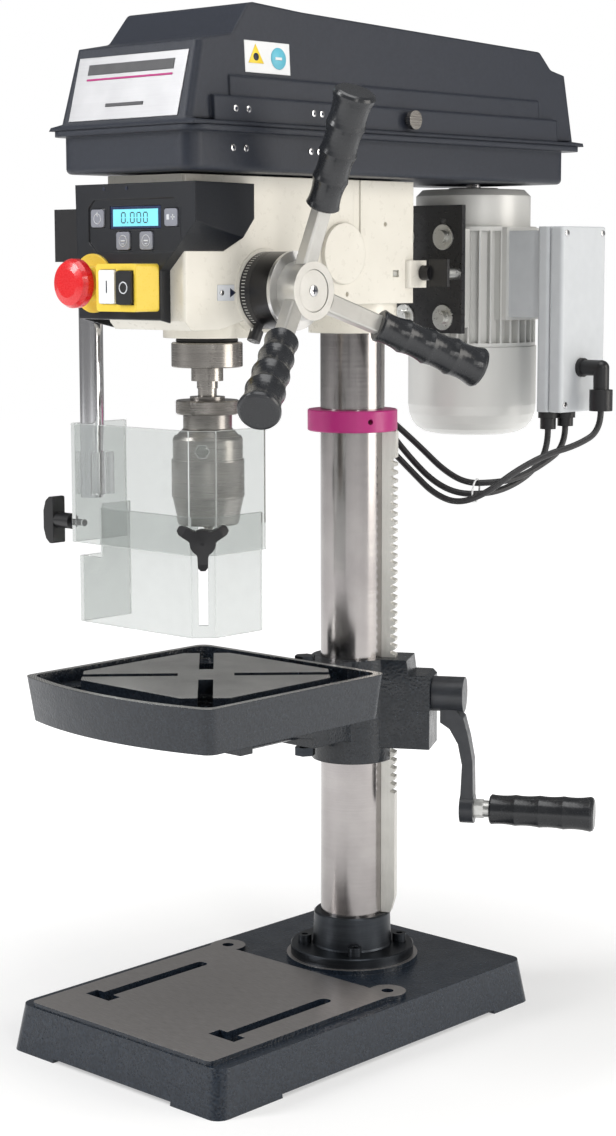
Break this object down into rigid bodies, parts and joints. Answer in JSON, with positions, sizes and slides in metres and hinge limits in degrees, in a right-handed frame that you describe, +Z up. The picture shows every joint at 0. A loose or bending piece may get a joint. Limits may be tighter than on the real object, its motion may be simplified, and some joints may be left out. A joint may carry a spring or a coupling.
{
  "type": "bench drill press",
  "caption": "Bench drill press: round column on a slotted base, rack-lifted tilting table, belt-driven spindle head with keyless chuck, star handle, motor and swing-out clear guard.",
  "frame": {"origin": "middle of the line between the two bench bolt holes, on the underside of the base", "axes": "+Z up along the column, +X to the operator's right, +Y to the back (motor side)"},
  "size_m": [0.3507, 0.565, 0.9167],
  "materials": {
    "hammered_paint": "hammered enamel",
    "table_iron": "machined top, painted sides",
    "machined_steel": "turned",
    "black_steel": "blackened",
    "column_steel": "ground",
    "rack_steel": "milled",
    "ring_plastic": "satin",
    "black_paint": "satin",
    "grip_plastic": "satin",
    "cream_paint": "satin enamel",
    "chuck_steel": "turned and knurled",
    "cast_aluminium": "blasted",
    "dark_aluminium": "anodised",
    "black_plastic": "satin",
    "cover_paint": "fine texture",
    "belt_rubber": "matt",
    "motor_aluminium": "painted silver",
    "box_plastic": "satin",
    "shell_plastic": "fine texture",
    "yellow_plastic": "satin",
    "white_plastic": "satin",
    "red_plastic": "satin",
    "key_plastic": "satin",
    "chrome_steel": "polished",
    "clear_plastic": "clear",
    "lead_rubber": "satin"
  },
  "bodies": {
    "root": {"base_casting": "hammered_paint", "column_flange": "machined_steel", "flange_screws": "black_steel", "column_tube": "column_steel", "rack_ring": "ring_plastic", "head_casting": "cream_paint", "belt_housing": "cover_paint", "drive_belts": "belt_rubber", "front_shell": "shell_plastic", "switch_housing": "yellow_plastic", "stop_base": "yellow_plastic", "guard_switch_box": "box_plastic", "spring_case": "cream_paint", "motor_lead": "lead_rubber", "switch_lead": "lead_rubber", "sensor_lead": "lead_rubber"},
    "lid": {"cover_lid": "cover_paint"},
    "latch": {"latch_knob": "black_plastic"},
    "feed": {"pinion_shaft": "machined_steel", "feed_hub": "cast_aluminium", "feed_grips": "grip_plastic", "hub_flange": "dark_aluminium"},
    "stop_ring": {"depth_ring": "black_plastic"},
    "quill": {"quill_sleeve": "machined_steel", "spindle_bearings": "machined_steel"},
    "spindle": {"spindle_shaft": "machined_steel", "chuck_body": "chuck_steel", "chuck_jaws": "chuck_steel"},
    "tightening_sleeve": {"chuck_sleeve": "chuck_steel"},
    "front_pulley": {"spindle_pulley": "cast_aluminium"},
    "middle_pulley": {"idler_pulley": "cast_aluminium"},
    "motor": {"motor_slide": "machined_steel", "motor_body": "motor_aluminium", "fan_cover": "motor_aluminium", "control_box": "box_plastic", "cable_glands": "black_plastic"},
    "rotor": {"motor_rotor": "machined_steel", "motor_pulley": "cast_aluminium"},
    "slide_lock": {"slide_lock_screw": "black_plastic"},
    "guard": {"guard_post": "chrome_steel", "guard_upper": "clear_plastic"},
    "guard_screen": {"guard_lower": "clear_plastic"},
    "screen_knob": {"wing_knob": "black_plastic"},
    "guard_knob": {"tee_knob": "black_plastic"},
    "lifting_rack": {"rack": "rack_steel"},
    "table_arm": {"table_bracket": "hammered_paint", "table_clamp_bolt": "black_steel"},
    "gear": {"lift_gear": "machined_steel"},
    "crank": {"crank_shaft": "machined_steel", "crank_arm": "black_paint"},
    "crank_handle": {"crank_grip": "grip_plastic"},
    "column_lock": {"lock_lever": "black_steel"},
    "table": {"table_tray": "table_iron"},
    "start": {"start_button": "white_plastic"},
    "off": {"off_button": "black_plastic"},
    "emergency_stop": {"emergency_button": "red_plastic"},
    "left_key": {"key_left": "key_plastic"},
    "right_key": {"key_right": "key_plastic"},
    "low_left_key": {"key_low_left": "key_plastic"},
    "low_right_key": {"key_low_right": "key_plastic"}
  },
  "joints": [
    {"name": "lid_open", "type": "hinge", "parent": "root", "child": "lid", "pos_m": [-0.091, 0.0665, 0.817], "axis": [0, -1, 0], "range_deg": [0, 90]},
    {"name": "latch_turn", "type": "hinge", "parent": "lid", "child": "latch", "pos_m": [0.084, 0.0475, 0.829], "axis": [1, 0, 0], "range_deg": [0, 90]},
    {"name": "feed_turn", "type": "hinge", "parent": "root", "child": "feed", "pos_m": [0, -0.0995, 0.6805], "axis": [1, 0, 0], "range_deg": [0, 298], "stiffness_Nm_per_rad": 0.4, "springref_deg": -85.94},
    {"name": "quill_feed", "type": "slide", "parent": "root", "child": "quill", "axis": [0, 0, -1], "range_m": [0, 0.0652]},
    {"name": "stop_ring_turn", "type": "hinge", "parent": "feed", "child": "stop_ring", "pos_m": [0, -0.0995, 0.6805], "axis": [1, 0, 0], "range_deg": [-180, 180]},
    {"name": "spindle_turn", "type": "hinge", "parent": "quill", "child": "spindle", "pos_m": [0, -0.1235, 0.6], "axis": [0, 0, 1], "continuous": true},
    {"name": "chuck_tighten", "type": "hinge", "parent": "spindle", "child": "tightening_sleeve", "pos_m": [0, -0.1235, 0.52], "axis": [0, 0, 1], "range_deg": [-360, 360]},
    {"name": "front_pulley_turn", "type": "hinge", "parent": "root", "child": "front_pulley", "pos_m": [0, -0.1235, 0.82], "axis": [0, 0, 1], "continuous": true},
    {"name": "middle_pulley_turn", "type": "hinge", "parent": "root", "child": "middle_pulley", "pos_m": [0, 0.0485, 0.82], "axis": [0, 0, 1], "continuous": true},
    {"name": "motor_slide_move", "type": "slide", "parent": "root", "child": "motor", "axis": [0, 1, 0], "range_m": [-0.01, 0]},
    {"name": "rotor_turn", "type": "hinge", "parent": "motor", "child": "rotor", "pos_m": [0, 0.2445, 0.82], "axis": [0, 0, 1], "continuous": true},
    {"name": "slide_lock_turn", "type": "hinge", "parent": "root", "child": "slide_lock", "pos_m": [0.06, 0.1065, 0.6946], "axis": [1, 0, 0], "range_deg": [-180, 180]},
    {"name": "guard_swing", "type": "hinge", "parent": "root", "child": "guard", "pos_m": [-0.0845, -0.1823, 0.6], "axis": [0, 0, -1], "range_deg": [0, 100]},
    {"name": "screen_slide", "type": "slide", "parent": "guard", "child": "guard_screen", "axis": [0, 0, -1], "range_m": [-0.05, 0.008]},
    {"name": "screen_knob_turn", "type": "hinge", "parent": "guard", "child": "screen_knob", "pos_m": [0.0576, -0.1871, 0.4726], "axis": [-0.7071, 0.7071, 0], "range_deg": [-180, 180]},
    {"name": "guard_knob_turn", "type": "hinge", "parent": "guard", "child": "guard_knob", "pos_m": [-0.11, -0.1825, 0.476], "axis": [1, 0, 0], "range_deg": [-180, 180]},
    {"name": "rack_swing", "type": "hinge", "parent": "root", "child": "lifting_rack", "pos_m": [0, 0.0665, 0.3], "axis": [0, 0, 1], "range_deg": [-90, 90]},
    {"name": "table_lift", "type": "slide", "parent": "lifting_rack", "child": "table_arm", "axis": [0, 0, -1], "range_m": [-0.0316, 0.063]},
    {"name": "crank_turn", "type": "hinge", "parent": "table_arm", "child": "crank", "pos_m": [0.07967, 0.1125, 0.302], "axis": [0.866, 0.5, 0], "range_deg": [-1440, 2880]},
    {"name": "gear_turn", "type": "hinge", "parent": "table_arm", "child": "gear", "pos_m": [0.04638, 0.09327, 0.278], "axis": [0.5, -0.866, 0], "range_deg": [-300, 150]},
    {"name": "crank_grip_turn", "type": "hinge", "parent": "crank", "child": "crank_handle", "pos_m": [0.15588, 0.1565, 0.193], "axis": [0.866, 0.5, 0], "continuous": true},
    {"name": "column_lock_turn", "type": "hinge", "parent": "table_arm", "child": "column_lock", "pos_m": [-0.03214, 0.1048, 0.287], "axis": [0.766, 0.6428, 0], "range_deg": [-60, 60]},
    {"name": "table_tilt", "type": "hinge", "parent": "table_arm", "child": "table", "pos_m": [0, -0.0535, 0.278], "axis": [0, 1, 0], "range_deg": [-20, 20]},
    {"name": "start_press", "type": "slide", "parent": "root", "child": "start", "axis": [0, 1, 0], "range_m": [0, 0.003], "stiffness_N_per_m": 400},
    {"name": "off_press", "type": "slide", "parent": "root", "child": "off", "axis": [0, 1, 0], "range_m": [0, 0.003], "stiffness_N_per_m": 400},
    {"name": "emergency_press", "type": "slide", "parent": "root", "child": "emergency_stop", "axis": [0, 1, 0], "range_m": [0, 0.0045], "stiffness_N_per_m": 600},
    {"name": "left_key_press", "type": "slide", "parent": "root", "child": "left_key", "axis": [0, 1, 0], "range_m": [0, 0.0008], "stiffness_N_per_m": 500},
    {"name": "right_key_press", "type": "slide", "parent": "root", "child": "right_key", "axis": [0, 1, 0], "range_m": [0, 0.0008], "stiffness_N_per_m": 500},
    {"name": "low_left_key_press", "type": "slide", "parent": "root", "child": "low_left_key", "axis": [0, 1, 0], "range_m": [0, 0.0008], "stiffness_N_per_m": 500},
    {"name": "low_right_key_press", "type": "slide", "parent": "root", "child": "low_right_key", "axis": [0, 1, 0], "range_m": [0, 0.0008], "stiffness_N_per_m": 500}
  ],
  "couplings": [
    {"joint": "quill_feed", "follows": "feed_turn", "m_per_rad": 0.0125},
    {"joint": "front_pulley_turn", "follows": "spindle_turn", "ratio": 1},
    {"joint": "middle_pulley_turn", "follows": "spindle_turn", "ratio": 0.7913},
    {"joint": "rotor_turn", "follows": "spindle_turn", "ratio": 1.4299},
    {"joint": "table_lift", "follows": "crank_turn", "m_per_rad": 0.00125},
    {"joint": "gear_turn", "follows": "crank_turn", "ratio": -0.1}
  ]
}
